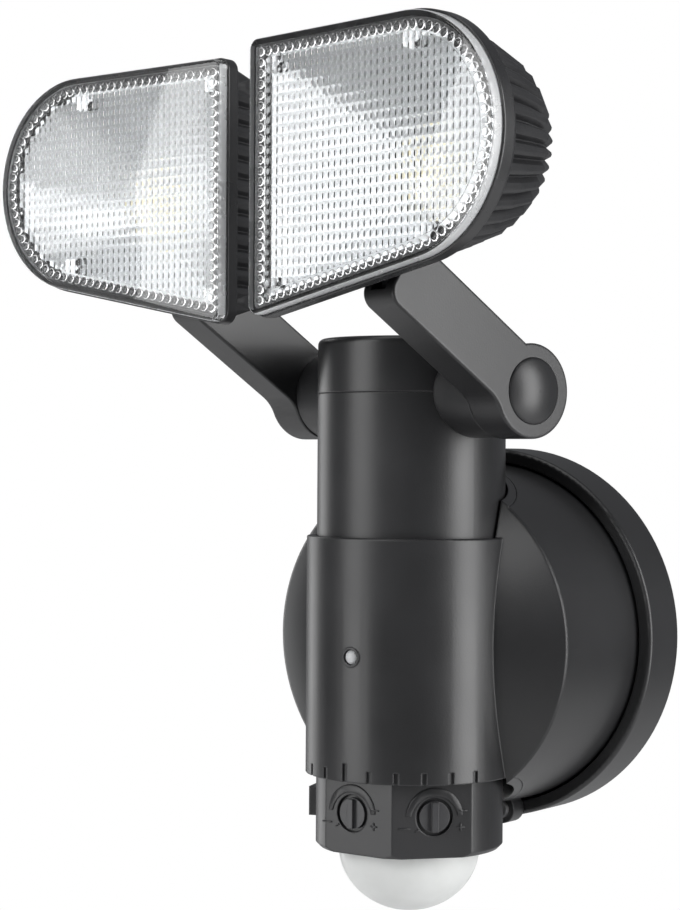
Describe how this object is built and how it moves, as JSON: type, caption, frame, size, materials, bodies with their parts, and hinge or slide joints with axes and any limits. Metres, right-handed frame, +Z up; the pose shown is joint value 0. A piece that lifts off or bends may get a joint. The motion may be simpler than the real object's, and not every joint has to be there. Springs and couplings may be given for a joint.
{
  "type": "motion sensor security light",
  "caption": "Outdoor wall light with swivelling flat LED heads on jointed arms, a round wall base and a swivelling motion sensor with a milky dome lens below.",
  "frame": {"origin": "centre of the wall plate's back face, on the wall", "axes": "+Y into the wall, -Y out into the garden, +Z up, +X to the right seen from the garden"},
  "size_m": [0.2139, 0.1616, 0.2589],
  "materials": {
    "cover_plastic": "satin black moulded plastic",
    "bezel_plastic": "black moulded plastic with a soft gloss",
    "inner_plastic": "dark grey moulded plastic",
    "sink_metal": "black coated die-cast aluminium",
    "knuckle_metal": "black coated die-cast aluminium",
    "lens_clear": "clear moulded plastic with prismatic lenslets",
    "lens_milky": "milky translucent plastic",
    "reflector_chrome": "vacuum-metallised moulded plastic",
    "seal_rubber": "black soft rubber",
    "screw_steel": "zinc plated steel",
    "board_laminate": "green circuit board laminate",
    "led_board_white": "white solder mask on an aluminium core",
    "led_phosphor": "yellow phosphor under clear silicone",
    "part_plastic": "black moulded component cases",
    "sensor_can": "nickel plated steel can"
  },
  "bodies": {
    "base": {"wall_plate": "cover_plastic", "wall_gasket": "seal_rubber", "cable_grommet": "seal_rubber", "rear_housing": "cover_plastic", "lock_screw": "screw_steel", "front_housing": "cover_plastic", "housing_screws": "screw_steel", "turret_seal": "seal_rubber", "photocell_lens": "lens_clear", "photocell_board": "board_laminate", "terminal_block": "inner_plastic", "driver_board": "board_laminate", "driver_parts": "part_plastic", "board_screws": "screw_steel"},
    "turret": {"turret_tube": "cover_plastic", "turret_cap": "cover_plastic", "cap_screws": "screw_steel", "turret_retainer": "inner_plastic", "retainer_screws": "screw_steel", "arm_hub_right": "cover_plastic", "arm_hub_left": "cover_plastic", "tilt_bolts": "screw_steel", "tilt_washers": "screw_steel", "friction_rings": "seal_rubber"},
    "arm_right": {"arm_right": "cover_plastic", "arm_button_right": "cover_plastic", "knuckle_pin_right": "screw_steel"},
    "knuckle_right": {"knuckle_right": "knuckle_metal"},
    "head_right": {"clear_lens_right": "lens_clear", "lens_gasket_right": "seal_rubber", "bezel_right": "bezel_plastic", "heat_sink_right": "sink_metal", "head_screws_right": "screw_steel", "swivel_screw_right": "screw_steel", "reflector_right": "reflector_chrome", "led_board_right": "led_board_white", "led_chips_right": "led_phosphor"},
    "arm_left": {"arm_left": "cover_plastic", "arm_button_left": "cover_plastic", "knuckle_pin_left": "screw_steel"},
    "knuckle_left": {"knuckle_left": "knuckle_metal"},
    "head_left": {"clear_lens_left": "lens_clear", "lens_gasket_left": "seal_rubber", "bezel_left": "bezel_plastic", "heat_sink_left": "sink_metal", "head_screws_left": "screw_steel", "swivel_screw_left": "screw_steel", "reflector_left": "reflector_chrome", "led_board_left": "led_board_white", "led_chips_left": "led_phosphor"},
    "sensor": {"sensor_cap": "cover_plastic", "sensor_neck": "inner_plastic", "sensor_retainer": "inner_plastic", "sensor_screws": "screw_steel", "pir_lens": "lens_milky", "sensor_board": "board_laminate", "pyro_sensor": "sensor_can", "trimmers": "part_plastic"},
    "light_dial": {"light_dial": "part_plastic"},
    "time_dial": {"time_dial": "part_plastic"}
  },
  "joints": [
    {"name": "turret_pan", "type": "hinge", "parent": "base", "child": "turret", "pos_m": [0, -0.0635, 0.0195], "axis": [0, 0, 1], "range_deg": [-28.5, 61.5]},
    {"name": "arm_tilt_right", "type": "hinge", "parent": "turret", "child": "arm_right", "pos_m": [0.04626, -0.0772, 0.0765], "axis": [0.9588, -0.284, 0], "range_deg": [-50, 25]},
    {"name": "head_tilt_right", "type": "hinge", "parent": "arm_right", "child": "knuckle_right", "pos_m": [0.03402, -0.11854, 0.10558], "axis": [0.9588, -0.284, 0], "range_deg": [-30, 45]},
    {"name": "head_swivel_right", "type": "hinge", "parent": "knuckle_right", "child": "head_right", "pos_m": [0.03402, -0.11854, 0.12358], "axis": [0, 0, 1], "range_deg": [-25, 15]},
    {"name": "arm_tilt_left", "type": "hinge", "parent": "turret", "child": "arm_left", "pos_m": [-0.04626, -0.0498, 0.0765], "axis": [0.9588, -0.284, 0], "range_deg": [-50, 25]},
    {"name": "head_tilt_left", "type": "hinge", "parent": "arm_left", "child": "knuckle_left", "pos_m": [-0.05851, -0.09113, 0.10558], "axis": [0.9588, -0.284, 0], "range_deg": [-30, 45]},
    {"name": "head_swivel_left", "type": "hinge", "parent": "knuckle_left", "child": "head_left", "pos_m": [-0.05851, -0.09113, 0.12358], "axis": [0, 0, 1], "range_deg": [-32.5, 7.5]},
    {"name": "sensor_pan", "type": "hinge", "parent": "base", "child": "sensor", "pos_m": [0, -0.0635, -0.034], "axis": [0, 0, 1], "range_deg": [-80, 80]},
    {"name": "light_dial_turn", "type": "hinge", "parent": "sensor", "child": "light_dial", "pos_m": [-0.00354, -0.08954, -0.0508], "axis": [-0.0436, -0.999, 0], "range_deg": [-135, 135]},
    {"name": "time_dial_turn", "type": "hinge", "parent": "sensor", "child": "time_dial", "pos_m": [0.02013, -0.08024, -0.0508], "axis": [0.749, -0.6626, 0], "range_deg": [-135, 135]}
  ]
}
